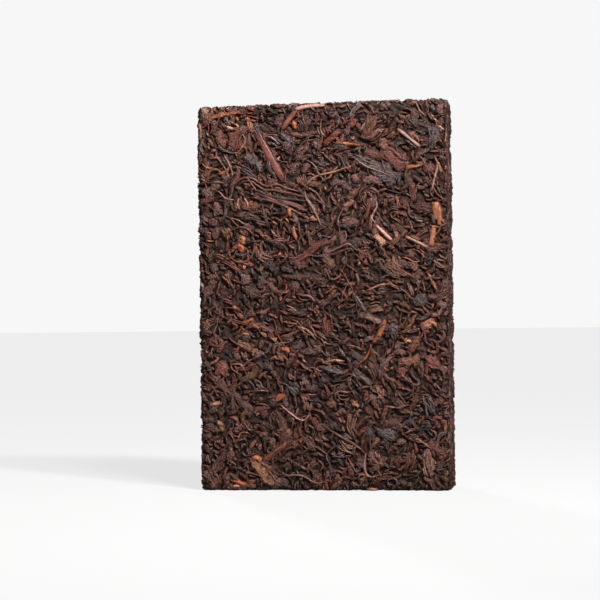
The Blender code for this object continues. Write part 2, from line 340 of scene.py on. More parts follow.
    ("golden_tips", "tan", 1.8, ((10.4, 31.8), (13.0, 30.2))),
    ("golden_tips", "tan", 1.2, ((4.4, 28.0), (5.4, 27.0))),
)


def unit(vectors):
    """The same vectors at length 1."""
    return vectors / np.maximum(np.linalg.norm(vectors, axis=-1, keepdims=True), 1e-9)


def to_bed(points):
    """Nearest points of the rounded bed, and the outward normals there."""
    local = points - BED_MIDDLE
    core = np.clip(local, BED_RADIUS - BED_HALF, BED_HALF - BED_RADIUS)
    normals = unit(local - core)
    return core + normals * BED_RADIUS + BED_MIDDLE, normals


def cells(points):
    """Places in the height map of points on the bed."""
    steps = np.floor((points - BED_MIDDLE + BED_HALF) / CELL + MAP_MARGIN).astype(int)
    return np.ravel_multi_index(np.moveaxis(steps, -1, 0), MAP_SHAPE)


def sunk(height):
    """Height of a leaf's foot on a pile that sinks together under the mould plate."""
    return PRESS_ROOM * (1 - np.exp(-height / PRESS_ROOM))


def moulded(points):
    """Points beyond the mould walls are pressed most of the way back."""
    local = points - BED_MIDDLE
    over = np.maximum(np.abs(local) - BED_HALF - MOULD_ROOM, 0)
    points = points - np.sign(local) * over * (1 - np.array(MOULD_GIVE))
    points[..., 2] += TOP_SLOPE * points[..., 0] * points[..., 2] / (2 * BED_MIDDLE[2])
    points[..., 2] = np.maximum(points[..., 2], FLOOR_GAP)
    return points


def turned(vectors, normals, angle):
    """Vectors on the surface, turned by an angle about its normals."""
    angle = angle[..., None]
    return vectors * np.cos(angle) + np.cross(normals, vectors) * np.sin(angle)


def lie(points, normals):
    """Direction in which the leaves lie at points of the bed."""
    angle = np.full(points.shape[:-1], LIE_ANGLE)
    for swing, wave, phase in LIE_WAVES:
        angle += swing * np.sin(points @ np.array(wave) + phase)
    along = np.stack((np.cos(angle), THROUGH_SHARE * np.sin(3 * angle), np.sin(angle)), axis=-1)
    return unit(along - normals * np.sum(along * normals, axis=-1, keepdims=True))


def regional_tone_and_foot_shade(points):
    """Lighter and darker regions of the brick, with painted shade towards the foot: a factor round 1, in red,
    green and blue.
    """
    value = sum(swing * np.sin(points @ np.array(wave) + phase) for swing, wave, phase in REGION_WAVES)
    # painted shade towards the foot
    value -= FOOT_PAINTED_SHADE * np.clip(1 - points[..., 2] / FOOT_HEIGHT, 0, 1)
    swing, wave, phase = WARM_WAVE
    warm = swing * np.sin(points @ np.array(wave) + phase)
    return np.stack((1 + value + warm, 1 + value, 1 + value - warm), axis=-1)


def narrowness(normals):
    """0 on the two broad faces, 1 on the four narrow sides."""
    return np.clip(1.4 * (1 - np.abs(normals[..., 1])), 0, 1)


def scattered(count):
    """Random places on the bed, evenly spread by area."""
    size = 2 * BED_HALF
    areas = np.repeat((size[1] * size[2], size[0] * size[2], size[0] * size[1]), 2)
    side = rng.choice(6, count, p=areas / areas.sum())
    places = rng.uniform(-1, 1, (count, 3))
    places[np.arange(count), side // 2] = np.where(side % 2, 1.0, -1.0)
    return to_bed(BED_MIDDLE + places * BED_HALF)


def walk(points, headings, turns, step):
    """Paths over the bed from the given points; turns has one column for each step."""
    path = [points]
    for turn in turns.T:
        normals = to_bed(points)[1]
        headings = turned(headings, normals, turn)
        points, normals = to_bed(points + headings * step[:, None])
        headings = unit(headings - normals * np.sum(headings * normals, axis=-1, keepdims=True))
        path.append(points)
    return path


def spread(bounds, count, power=1.0):
    """Random sizes between two bounds; a power above 1 favours the small ones."""
    return bounds[0] + (bounds[1] - bounds[0]) * rng.uniform(0, 1, count) ** power


def grown_paths(kind, count):
    """Random paths of one kind of leaf, their lengths and their places' narrowness."""
    parents = count // kind.bundle
    same = np.repeat(np.arange(parents), kind.bundle)
    middle, normals = scattered(parents)
    narrow = narrowness(normals)
    length = spread(kind.length, parents, 1.5) * (1 - 0.2 * narrow)
    stray = rng.normal(0, kind.stray, parents) * (1 - (1 - NARROW_STRAY) * narrow)
    headings = turned(lie(middle, normals), normals, stray)
    phase = rng.uniform(0, 2 * math.pi, (parents, 1))
    steady = rng.normal(0, kind.turn, (parents, 1))
    swing = kind.wave * rng.uniform(0.3, 1.6, (parents, 1))
    rate = 2 * math.pi / (kind.wave_length * rng.uniform(0.6, 1.5, (parents, 1)))
    middle, headings, narrow, length, phase, steady, swing, rate = (
        values[same] for values in (middle, headings, narrow, length, phase, steady, swing, rate))
    if kind.bundle > 1:
        rank = np.tile(np.arange(kind.bundle) - (kind.bundle - 1) / 2, parents)[:, None]
        aside = rank * BUNDLE_STEP * sum(kind.width) / 2 + rng.normal(0, 0.10, (count, 1))
        ahead = length[:, None] * rng.normal(0, 0.10, (count, 1))
        middle, normals = to_bed(middle + np.cross(normals[same], headings) * aside + headings * ahead)
        headings = turned(headings, normals, rng.normal(0, 0.08, count))
        length = length * rng.uniform(0.6, 1.1, count)
    half = kind.slices // 2
    step = length / kind.slices
    stations = (np.arange(half) + 0.5) * step[:, None]
    ahead = (steady + swing * np.sin(phase + rate * stations)) * step[:, None]
    behind = -(steady + swing * np.sin(phase - rate * stations)) * step[:, None]
    front = walk(middle, headings, ahead, step)
    back = walk(middle, -headings, behind, step)
    path = np.stack(back[:0:-1] + front, axis=1)
    return path, length, narrow


def smooth_route(points, count):
    """A rounded route of evenly spaced stations through given points."""
    corners = np.array(points, float)
    for _ in range(3 if len(corners) > 2 else 0):
        cut = np.concatenate((corners[:-1] * 0.75 + corners[1:] * 0.25,
                              corners[:-1] * 0.25 + corners[1:] * 0.75), axis=1)
        corners = np.concatenate((corners[:1], cut.reshape(-1, 2), corners[-1:]))
    travelled = np.concatenate(([0], np.cumsum(np.linalg.norm(np.diff(corners, axis=0), axis=1))))
    wanted = np.linspace(0, travelled[-1], count)
    return np.stack([np.interp(wanted, travelled, corners[:, axis]) for axis in (0, 1)], axis=-1)


FOLDED_FROM = 2.3                # listed leaves at least this broad get raised folds, mm
SMOOTH_TINTS = ("tan", "gold", "straw")  # the palest leaves lie flat
FOLD_PITCH = 1.1                 # one fold for so much breadth, mm


def laid_strips():
    """Kind, tint, breadth and route of every listed leaf, and of the folds of broad ones."""
    strips = []
    for kind_name, tint, breadth, points in HAND_LAID:
        route = smooth_route(points, KIND[kind_name].slices + 1)
        strips.append((kind_name, TINTS[tint], breadth, route))
        if kind_name != "broad_leaves" or breadth < FOLDED_FROM or tint in SMOOTH_TINTS:
            continue
        heading = unit(route[-1] - route[0])
        aside = np.array((-heading[1], heading[0]))
        span = np.linalg.norm(route[-1] - route[0])
        for _ in range(round(breadth / FOLD_PITCH)):
            middle = route[len(route) // 2] + heading * rng.uniform(-0.3, 0.3) * span
            middle = middle + aside * rng.uniform(-0.36, 0.36) * breadth
            reach = rng.uniform(0.20, 0.42) * max(span, 4.0)
            lean = rng.normal(0, 0.35)
            way = heading * math.cos(lean) + aside * math.sin(lean)
            bend = np.array((-way[1], way[0])) * rng.normal(0, 0.12) * reach
            fold = smooth_route((middle - way * reach, middle + bend, middle + way * reach),
                                KIND["leaf_folds"].slices + 1)
            colour = TINTS[tint] * math.exp(rng.normal(0, 0.18))
            strips.append(("leaf_folds", colour, rng.uniform(0.8, 1.3), fold))
    return strips


LAID_STRIPS = laid_strips()


def hand_paths(kind):
    """Paths, breadths, tints and turns of the listed leaves of one kind."""
    laid = [strip for strip in LAID_STRIPS if strip[0] == kind.name]
    if not laid:
        return np.zeros((0, kind.slices + 1, 3)), np.zeros(0), np.zeros((0, 3)), []
    turns = [turn for turn, strip in enumerate(LAID_STRIPS) if strip[0] == kind.name]
    routes = np.array([strip[3] for strip in laid])
    front = np.full(routes.shape[:2], BED_MIDDLE[1] - BED_HALF[1])
    path = to_bed(np.stack((routes[..., 0], front, routes[..., 1]), axis=-1))[0]
    return path, np.array([strip[2] for strip in laid]), np.array([strip[1] for strip in laid]), turns


def picked_tints(kind, count):
    """Tints drawn from the kind's palette, each a little lighter, darker, redder or greyer."""
    names, shares = zip(*kind.tints)
    table = np.array([TINTS[name] for name in names])
    parents = count // kind.bundle
    chosen = table[rng.choice(len(names), parents, p=np.array(shares) / sum(shares))]
    chosen = np.repeat(chosen, kind.bundle, axis=0)
    value = np.exp(rng.normal(0, 0.22, (count, 1)))
    warmth = rng.normal(0, 0.07, (count, 1)) * np.array((1, 0, -1))
    return np.clip(chosen * value * (1 + warmth), 0.004, 0.9)


class Lot:
    """All leaves of one kind: paths, outlines, crowns, and how they rest on what is below."""

    def __init__(self, kind, by_hand=True):
        self.kind = kind
        self.choices = CHOICES if kind.bundle == 1 else 1
        tries = kind.count * self.choices
        grown, length, narrow = grown_paths(kind, tries)
        width = spread(kind.width, kind.count, 1.3).repeat(self.choices)
        width = width * (1 - (1 - NARROW_WIDTH) * narrow)
        laid, laid_width, laid_tint, self.turns = grown[:0], width[:0], np.zeros((0, 3)), []
        if by_hand:
            laid, laid_width, laid_tint, self.turns = hand_paths(kind)
        self.grown = kind.count
        self.path = np.concatenate((grown, laid))
        width = np.concatenate((width, laid_width))
        self.tint = np.concatenate((picked_tints(kind, kind.count), laid_tint))
        self.thickness = np.concatenate((spread(kind.thickness, kind.count),
                                         np.full(len(laid), sum(kind.thickness) / 2)))
        self.total = kind.count + len(laid)
        self.length = np.linalg.norm(np.diff(self.path, axis=1), axis=2).sum(axis=1)
        normals = to_bed(self.path)[1]
        self.along = unit(np.gradient(self.path, axis=1))
        self.side = unit(np.cross(normals, self.along))
        self.edges = self.outlines(width / 2)
        self.crown = self.crowns()
        self.measure()

    def outlines(self, half_width):
        """Breadths to the left and right at each station, tapered and a little uneven."""
        count = len(half_width)
        ring = np.linspace(-1, 1, self.kind.slices + 1)
        tip = spread(self.kind.tip, (count, 2))
        ends = np.where(ring < 0, tip[:, :1], tip[:, 1:])
        taper = ends + (1 - ends) * (1 - np.abs(ring) ** 2.6)
        uneven = rng.normal(0, 1, (2, count, self.kind.slices + 1)).clip(-2, 2)
        uneven = 1 + min(0.20, 0.55 * self.kind.ragged - 0.05) * uneven
        return half_width[:, None] * taper * uneven

    def crowns(self):
        """Heights of the upper side, 0 at the rims and about 1 on the ridges."""
        kind = self.kind
        across = np.linspace(1, -1, kind.top)
        ring = np.linspace(0, 1, kind.slices + 1)[:, None]
        arch = (1 - np.abs(across) ** 2.2) * 0.88 + 0.10
        count = self.total
        phase = rng.uniform(0, 2 * math.pi, (count, 1, 1))
        twist = rng.normal(0, 0.8, (count, 1, 1))
        wave = np.sin(2 * math.pi * (kind.ridges * across + twist * ring) + phase)
        folds = sum(kind.length) / 2 / rng.uniform(1.6, 3.0, (count, 1, 1))
        share = FOLD_SHARE * min(1, max(0, kind.width[1] - 0.9))
        wave += share * np.sin(2 * math.pi * (folds * ring + 0.45 * across) + 2 * phase)
        fall = 0.5 + 0.5 * (1 - np.abs(2 * ring - 1) ** 3)
        lumps = 1 + 0.38 * kind.ridge_depth * rng.normal(0, 1, (count, kind.slices + 1, kind.top))
        return arch * fall * (1 + kind.ridge_depth * wave) * lumps

    def measure(self):
        """Places on the bed of each leaf's upper side, coarse for resting and fine for stamping."""
        kind = self.kind
        across = np.linspace(1, -1, kind.top)
        reach = np.where(across > 0, self.edges[1][..., None], self.edges[0][..., None]) * across
        spots = self.path[:, :, None] + self.side[:, :, None] * reach[..., None]
        self.rest_cells = cells(to_bed(spots)[0])
        stations = int(kind.length[1] / STAMP_PITCH[0]) + 2
        lanes = int(kind.width[1] / STAMP_PITCH[1]) + 2
        self.fine_along = blend_matrix(stations, kind.slices + 1)
        self.fine_across = blend_matrix(lanes, kind.top).T
        fine = np.einsum("fs,nskc->nfkc", self.fine_along, spots)
        fine = np.einsum("nfkc,kg->nfgc", fine, self.fine_across)
        self.stamp_cells = cells(to_bed(fine)[0])
        self.resting = np.zeros((self.total, kind.slices + 1, kind.top))
        self.chosen = np.zeros(self.total, int)

    def lay(self, leaf):
        """Lay one leaf on what is there already, and add it to the height map."""
        if leaf < self.grown:
            tries = np.arange(leaf * self.choices, (leaf + 1) * self.choices)
            levels = heights[self.rest_cells[tries]].mean(axis=(1, 2))
            place = tries[levels.argmin()]
        else:
            place = self.grown * self.choices + leaf - self.grown
        self.chosen[leaf] = place
        below = heights[self.rest_cells[place]]
        across = np.linspace(1, -1, self.kind.top)
        tilt = (below * across).sum(axis=1, keepdims=True) / (across ** 2).sum()
        plane = below.mean(axis=1, keepdims=True) + tilt * across
        stiff = STIFFNESS.get(self.kind.name, 0.4)
        rest = settle(stiff * plane + (1 - stiff) * below)
        rest = sunk(rest) if leaf < self.grown else rest - LAID_SINK
        self.resting[leaf] = rest
        top = rest + self.thickness[leaf] * self.crown[leaf]
        fine = self.fine_along @ top @ self.fine_across
        spot = self.stamp_cells[place]
        raised = fine > heights[spot]
        heights[spot[raised]] = fine[raised]
        tint_map[spot[raised]] = self.tint[leaf]

    def keep_chosen(self):
        """Drop the places that were tried and not taken."""
        for name in ("path", "side", "along"):
            setattr(self, name, getattr(self, name)[self.chosen])
        self.edges = self.edges[:, self.chosen]
        self.length = self.length[self.chosen]


def blend_matrix(fine, coarse):
    """Weights that turn values at a few even stations into values at many."""
    wanted = np.linspace(0, coarse - 1, fine)
    return np.clip(1 - np.abs(wanted[:, None] - np.arange(coarse)), 0, 1)


def settle(rest):
    """Smooth a leaf's resting heights along its length, as a stiff leaf does."""
    for _ in range(2):
        padded = np.concatenate((rest[:1], rest, rest[-1:]))
        rest = 0.25 * padded[:-2] + 0.5 * padded[1:-1] + 0.25 * padded[2:]
    return rest


def lay_all(lots):
    """Lay the leaves of several lots in one mixed order; the listed ones come last."""
    order = []
    for lot_index, lot in enumerate(lots):
        when = rng.uniform(0, 1, lot.total) + lot.kind.layer
        when[:lot.grown] = when[np.arange(lot.grown) // lot.kind.bundle * lot.kind.bundle]
        when[lot.grown:] = HAND_LAID_TURN + np.array(lot.turns)
        order += [(moment, lot_index, leaf) for leaf, moment in enumerate(when)]
    for _, lot_index, leaf in sorted(order):
        lots[lot_index].lay(leaf)
    for lot in lots:
        lot.keep_chosen()


def painted_crevice_shade(points, normals, level):
    """Painted shade: 1 on top of the leaves, falling where the neighbours stand higher."""
    upright = np.where(np.abs(normals[..., 2:]) > 0.7, (1.0, 0.0, 0.0), (0.0, 0.0, 1.0))
    first = unit(np.cross(normals, upright))
    second = np.cross(normals, first)
    around = np.zeros(points.shape[:-1])
    for turn in np.arange(6) * math.pi / 3:
        probe = points + CREVICE_SHADE_REACH * (first * math.cos(turn) + second * math.sin(turn))
        around += heights[cells(to_bed(probe)[0])] / 6
    depth = np.clip((around - level) / CREVICE_SHADE_DEPTH, 0, 1)
    return 1 - np.array(CREVICE_PAINTED_SHADE) * depth[..., None]


def strip_blank(sides, slices):
    """Closed strip made as a prism and cut into slices: vertex slots, faces, and face corners."""
    blank = bmesh.new()
    bmesh.ops.create_cone(blank, cap_ends=True, cap_tris=False, segments=sides,
                          radius1=1, radius2=1, depth=1)
    for cut in range(1, slices):
        geometry = blank.verts[:] + blank.edges[:] + blank.faces[:]
        place = (0, 0, cut / slices - 0.5)
        bmesh.ops.bisect_plane(blank, geom=geometry, plane_co=place, plane_no=(0, 0, 1))
    ends = [face for face in blank.faces if len(face.verts) != 4 or abs(face.normal.z) > 0.5]
    bmesh.ops.triangulate(blank, faces=ends)
    bmesh.ops.recalc_face_normals(blank, faces=blank.faces[:])
    blank.verts.ensure_lookup_table()
    first = math.atan2(blank.verts[0].co.y, blank.verts[0].co.x)
    slot = {}
    for vert in blank.verts:
        turn = (math.atan2(vert.co.y, vert.co.x) - first) / (2 * math.pi) * sides
        slot[vert.index] = (round((vert.co.z + 0.5) * slices), round(turn) % sides)
    faces = [[corner.index for corner in face.verts] for face in blank.faces]
    blank.free()
    stations = np.array([slot[index][0] for index in range(len(slot))])
    rings = np.array([slot[index][1] for index in range(len(slot))])
    return stations, rings, faces


def build_mesh(name, points, faces_of_one, copies, way, bake):
    """One mesh from many copies of a blank: points in mm, and two UV maps given per corner."""
    sizes = np.array([len(face) for face in faces_of_one])
    corners = np.concatenate([np.array(face) for face in faces_of_one])
    per_copy = points.shape[1]
    shift = (np.arange(copies) * per_copy)[:, None]
    mesh = bpy.data.meshes.new(name)
    mesh.vertices.add(copies * per_copy)
    mesh.vertices.foreach_set("co", (points.reshape(-1, 3) * MM).astype(np.float32).ravel())
    mesh.loops.add(copies * len(corners))
    mesh.loops.foreach_set("vertex_index", (corners + shift).ravel().astype(np.int32))
    starts = np.concatenate(([0], np.cumsum(sizes)[:-1]))
    starts = (starts + (np.arange(copies) * len(corners))[:, None]).ravel()
    mesh.polygons.add(copies * len(sizes))
    mesh.polygons.foreach_set("loop_start", starts.astype(np.int32))
    mesh.update(calc_edges=True)
    for map_name, values in (("leaf_way", way), ("OFBake", bake)):
        layer = mesh.uv_layers.new(name=map_name)
        layer.uv.foreach_set("vector", values.reshape(-1, 2).astype(np.float32).ravel())
    mesh.validate()
    mesh.shade_smooth()
    return mesh


def add_tint_and_shade(mesh, colours):
    """Store the leaf colours, with their painted shade, on the vertices."""
    layer = mesh.color_attributes.new("leaf_tint_and_shade", "FLOAT_COLOR", "POINT")
    full = np.concatenate((colours.reshape(-1, 3), np.ones((colours.size // 3, 1))), axis=1)
    layer.data.foreach_set("color", full.astype(np.float32).ravel())


def atlas_cells(count, aspect):
    """Lower corners and size of the cells of an atlas that holds one strip each."""
    columns = max(1, int(math.sqrt(count / aspect)))
    rows = math.ceil(count / columns)
    index = np.arange(count)
    corner = np.stack((index % columns / columns, index // columns / rows), axis=-1)
    return corner, np.array((1 / columns, 1 / rows))


def corner_maps(lot, stations, rings, faces, sides):
    """UV maps of a lot: the way along and across each leaf in mm, and its own atlas cell."""
    kind = lot.kind
    along = []
    around = []
    lift = []
    for face in faces:
        ring = rings[face].astype(float)
        station = stations[face] / kind.slices
        if len(set(stations[face])) == 1:
            lift += [0.02 if station[0] else -0.02] * len(face)
        else:
            lift += [0.0] * len(face)
            ring = np.where((ring == 0) & (rings[face].max() == sides - 1), sides, ring)
        along += list(station)
        around += list(ring / sides)
    along = np.array(along) + np.array(lift) * (0.5 + np.array(around))
    around = np.array(around)
    corner, size = atlas_cells(lot.total, 7.0)
    inner = np.stack((0.05 + 0.90 * along, 0.08 + 0.84 * around), axis=-1)
    bake = corner[:, None] + inner * size
    offset = rng.uniform(0, 500, (lot.total, 1, 2))
    girth = 2.4 * lot.edges.max(axis=(0, 2))
    way = np.stack((along * lot.length[:, None], around * girth[:, None]), axis=-1) + offset
    return way, bake


def leaf_mesh(lot):
    """The mesh of all leaves of a lot, and their colours."""
    kind = lot.kind
    sides = kind.top + kind.under
    stations, rings, faces = strip_blank(sides, kind.slices)
    across_top = np.linspace(1, -1, kind.top)
    across = np.concatenate((across_top, np.linspace(-1, 1, kind.under + 2)[1:-1]))
    twin = np.abs(across_top - across[:, None]).argmin(axis=1)
    reach = np.where(across > 0, lot.edges[1][..., None], lot.edges[0][..., None]) * across
    spots = lot.path[:, :, None] + lot.side[:, :, None] * reach[..., None]
    torn = rng.normal(0, kind.ragged * TORN_SHARE, (lot.total, 2, sides))
    spots[:, 0] += lot.along[:, 0, None] * torn[:, 0, :, None]
    spots[:, -1] += lot.along[:, -1, None] * torn[:, 1, :, None]
    ground, normals = to_bed(spots)
    body = lot.crown[:, :, twin]
    body[:, :, kind.top:] = UNDERSIDE
    level = lot.resting[:, :, twin] + lot.thickness[:, None, None] * body
    points = moulded(ground + normals * level[..., None])
    # painted shade where the neighbouring leaves stand higher
    shade = painted_crevice_shade(ground, normals, level)
    drift = 1 + FLECKS * rng.normal(0, 1, (lot.total, kind.slices + 1, sides)).clip(-2, 2)
    # painted shade in each leaf's valleys and on its rims
    valley_shade = 1 - np.array(VALLEY_PAINTED_SHADE) * (1 - lot.crown[:, :, twin]).clip(0, 1)[..., None]
    tone = regional_tone_and_foot_shade(lot.path[:, kind.slices // 2])[:, None, None]
    # painted shade on the narrow sides
    tone = tone * (1 - (1 - NARROW_SIDE_PAINTED_SHADE) * narrowness(normals))[..., None]
    colours = lot.tint[:, None, None] * tone * valley_shade * drift[..., None] * shade
    way, bake = corner_maps(lot, stations, rings, faces, sides)
    mesh = build_mesh(kind.name, points[:, stations, rings], faces, lot.total, way, bake)
    add_tint_and_shade(mesh, colours[:, stations, rings])
    return mesh


# ---------------------------------------------------------------- the core

CORE_PITCH = 0.62       # spacing of the core's surface grid, mm
CORE_SINK = 0.25        # the core stays this far below the leaves stamped into it, mm
CORE_PAINTED_SHADE = 0.5        # painted shade: the core under the leaves is darkened to this share


def core_mesh(relief, tints):
    """Six gridded sides of a box, joined, rounded and raised to the buried leaves' relief."""
    half = Vector(BED_HALF)
    block = bmesh.new()
    for axis in range(3):
        first = (axis + 1) % 3
        second = (axis + 2) % 3
        for sign in (-1, 1):
            place = Matrix.Identity(4)
            for row in range(3):
                place[row][0] = half[first] if row == first else 0
                place[row][1] = sign * half[second] if row == second else 0
                place[row][2] = sign if row == axis else 0
                place[row][3] = sign * half[axis] if row == axis else 0
            bmesh.ops.create_grid(block, x_segments=round(2 * half[first] / CORE_PITCH),
                                  y_segments=round(2 * half[second] / CORE_PITCH), size=1, matrix=place)
    bmesh.ops.remove_doubles(block, verts=block.verts[:], dist=CORE_PITCH / 4)
    bmesh.ops.recalc_face_normals(block, faces=block.faces[:])
    mesh = bpy.data.meshes.new("pressed_core")
    block.to_mesh(mesh)
    block.free()
    sharp = np.empty(len(mesh.vertices) * 3, np.float32)
    mesh.vertices.foreach_get("co", sharp)
    ground, normals = to_bed(sharp.reshape(-1, 3) + BED_MIDDLE)
    spot = cells(ground)
    level = relief[spot] - CORE_SINK
    points = moulded(ground + normals * level[:, None])
    mesh.vertices.foreach_set("co", (points * MM).astype(np.float32).ravel())
    mesh.update()
    # painted shade where the neighbouring leaves stand higher
    shade = painted_crevice_shade(ground, normals, level)
    # the core also gets its own painted shade under the leaves
    add_tint_and_shade(mesh, tints[spot] * shade * CORE_PAINTED_SHADE)
    mesh.shade_smooth()
    return mesh


# ---------------------------------------------------------------- materials

def node_group(name, inputs, outputs):
    """An empty shader node group with the named sockets; returns it with its two end nodes."""
    group = bpy.data.node_groups.new(name, "ShaderNodeTree")
    for socket, kind, value in inputs:
        made = group.interface.new_socket(name=socket, in_out="INPUT", socket_type=kind)
        if value is not None:
            made.default_value = value
    for socket, kind in outputs:
        group.interface.new_socket(name=socket, in_out="OUTPUT", socket_type=kind)
    return group, group.nodes.new("NodeGroupInput"), group.nodes.new("NodeGroupOutput")


def add_node(tree, kind, settings=None, values=None):
    """A node with its settings and socket values."""
    node = tree.nodes.new(kind)
    for name, value in (settings or {}).items():
        setattr(node, name, value)
    for socket, value in (values or {}).items():
        node.inputs[socket].default_value = value
    return node


def wire(tree, links):
    """Join outputs to inputs, given as (node, output, node, input)."""
    for source, output, target, socket in links:
        tree.links.new(source.outputs[output], target.inputs[socket])


def fibre_group():
    """Long fibres and veins that run along a leaf: a shade from 0 to 1 that rises with the height, so the
    grooves get painted shade, and a height.
    """
    group, start, end = node_group(
        "leaf_fibres",
        (("Way", "NodeSocketVector", None), ("Fineness", "NodeSocketFloat", 1.0)),
        (("Shade", "NodeSocketFloat"), ("Height", "NodeSocketFloat")),
    )
    stretch = add_node(group, "ShaderNodeMapping", values={"Scale": (0.50, 2.6, 1.0)})
    size = add_node(group, "ShaderNodeVectorMath", {"operation": "SCALE"})
    coarse = add_node(group, "ShaderNodeTexNoise", values={"Scale": 1.0, "Detail": 3.0, "Roughness": 0.55})
    wrinkle = add_node(group, "ShaderNodeMapping", values={"Scale": (2.1, 2.6, 1.0)})
    folds = add_node(group, "ShaderNodeTexNoise", values={"Scale": 1.0, "Detail": 2.0, "Roughness": 0.5})
    mix = add_node(group, "ShaderNodeMath", {"operation": "MULTIPLY_ADD"}, {1: 0.85})
    spread_out = add_node(group, "ShaderNodeMapRange", values={"From Min": 0.66, "From Max": 1.19})
    wire(group, (
        (start, "Way", stretch, "Vector"),
        (start, "Way", wrinkle, "Vector"),
        (stretch, "Vector", size, 0),
        (start, "Fineness", size, "Scale"),
        (size, "Vector", coarse, "Vector"),
        (wrinkle, "Vector", folds, "Vector"),
        (folds, "Fac", mix, 0),
        (coarse, "Fac", mix, 2),
        (mix, "Value", spread_out, "Value"),
        (spread_out, "Result", end, "Shade"),
        (mix, "Value", end, "Height"),
    ))
    return group


def mottle_group():
    """Cloudy patches over the brick: a shade from 0 to 1."""
    group, start, end = node_group(
        "leaf_mottle",
        (("Position", "NodeSocketVector", None), ("Patches", "NodeSocketFloat", 600.0)),
        (("Shade", "NodeSocketFloat"),),
    )
    cloud = add_node(group, "ShaderNodeTexNoise", values={"Detail": 3.0, "Roughness": 0.6})
    spread_out = add_node(group, "ShaderNodeMapRange", values={"From Min": 0.3, "From Max": 0.7})
    wire(group, (
        (start, "Position", cloud, "Vector"),
        (start, "Patches", cloud, "Scale"),
        (cloud, "Fac", spread_out, "Value"),
        (spread_out, "Result", end, "Shade"),
    ))
    return group


CONTRAST_SHARES = (0.84, 1.05, 1.18)  # the fibres' painted groove shade is redder, and their painted crest highlight paler
SHEEN_TINT = (1.0, 0.80, 0.74, 1)
SHEEN_LEVEL = 0.45      # dry leaf reflects less than a varnished one


def leaf_material(name, groups, roughness, fineness, relief, contrast, on_core=False):
    """Dry pressed leaf: tint and painted shade from the mesh, fibres along the leaf with painted shade in
    their grooves, satin on the folds.
    """
    fibres, mottle = groups
    material = bpy.data.materials.new(name)
    material.use_nodes = True
    tree = material.node_tree
    shader = tree.nodes["Principled BSDF"]
    shader.inputs["Specular IOR Level"].default_value = SHEEN_LEVEL
    shader.inputs["Specular Tint"].default_value = SHEEN_TINT
    tint = add_node(tree, "ShaderNodeAttribute", {"attribute_name": "leaf_tint_and_shade"})
    place = add_node(tree, "ShaderNodeTexCoord")
    fibre = add_node(tree, "ShaderNodeGroup", {"node_tree": fibres}, {"Fineness": fineness})
    cloud = add_node(tree, "ShaderNodeGroup", {"node_tree": mottle}, {"Patches": 700.0})
    if on_core:
        way = add_node(tree, "ShaderNodeMapping", values={"Rotation": (0, math.radians(48), 0),
                                                          "Scale": (1000, 1000, 1000)})
        tree.links.new(place.outputs["Object"], way.inputs["Vector"])
        tree.links.new(way.outputs["Vector"], fibre.inputs["Way"])
    else:
        way = add_node(tree, "ShaderNodeUVMap", {"uv_map": "leaf_way"})
        tree.links.new(way.outputs["UV"], fibre.inputs["Way"])
    tree.links.new(place.outputs["Object"], cloud.inputs["Position"])
    rise = [contrast * share for share in CONTRAST_SHARES]
    # fibre grain, with painted shade in the bump's grooves and a painted highlight on its crests
    light = add_node(tree, "ShaderNodeVectorMath", {"operation": "MULTIPLY_ADD"},
                     {1: [2 * share for share in rise], 2: [1 - share for share in rise]})
    patch = add_node(tree, "ShaderNodeMapRange", values={"To Min": 0.80, "To Max": 1.20})
    both = add_node(tree, "ShaderNodeVectorMath", {"operation": "SCALE"})
    colour = add_node(tree, "ShaderNodeVectorMath", {"operation": "MULTIPLY"})
    gloss = add_node(tree, "ShaderNodeMapRange",
                     values={"To Min": roughness - 0.10, "To Max": roughness + 0.14})
    bump = add_node(tree, "ShaderNodeBump", values={"Strength": 1.0, "Distance": relief * MM})
    wire(tree, (
        (fibre, "Shade", light, 0),
        (cloud, "Shade", patch, "Value"),
        (light, "Vector", both, 0),
        (patch, "Result", both, "Scale"),
        (tint, "Color", colour, 0),
        (both, "Vector", colour, 1),
        (colour, "Vector", shader, "Base Color"),
        (cloud, "Shade", gloss, "Value"),
        (gloss, "Result", shader, "Roughness"),
        (fibre, "Height", bump, "Height"),
        (bump, "Normal", shader, "Normal"),
    ))
    return material


# ---------------------------------------------------------------- pieces of the brick

FINISHES = {    # roughness, fineness of the fibres, depth of the fibre relief in mm, contrast of the fibre grain and its painted groove shade
    "under_leaves": (0.46, 1.0, 0.36, 0.54),
    "rolled_dark_leaves": (0.33, 1.0, 0.38, 0.54),
    "rolled_brown_leaves": (0.35, 1.0, 0.38, 0.54),
    "leaf_folds": (0.35, 0.9, 0.40, 0.54),
    "broad_leaves": (0.38, 0.9, 0.46, 0.48),
    "russet_leaves": (0.38, 0.9, 0.38, 0.50),
    "stems": (0.38, 1.3, 0.14, 0.24),
    "tendrils": (0.34, 1.2, 0.18, 0.32),
    "fine_strands": (0.35, 1.2, 0.20, 0.36),
    "golden_tips": (0.40, 1.1, 0.26, 0.42),
    "crumbs": (0.38, 1.1, 0.36, 0.54),
}
CORE_FINISH = (0.65, 0.8, 0.34, 0.46)  # roughness, fineness, relief and contrast (grain and painted groove shade) of the core


def add_piece(mesh, material):
    """Put a finished mesh in the scene as a piece of the brick."""
    mesh.materials.append(material)
    piece = bpy.data.objects.new(mesh.name, mesh)
    bpy.context.scene.collection.objects.link(piece)
    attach(piece, BODY)
    return piece


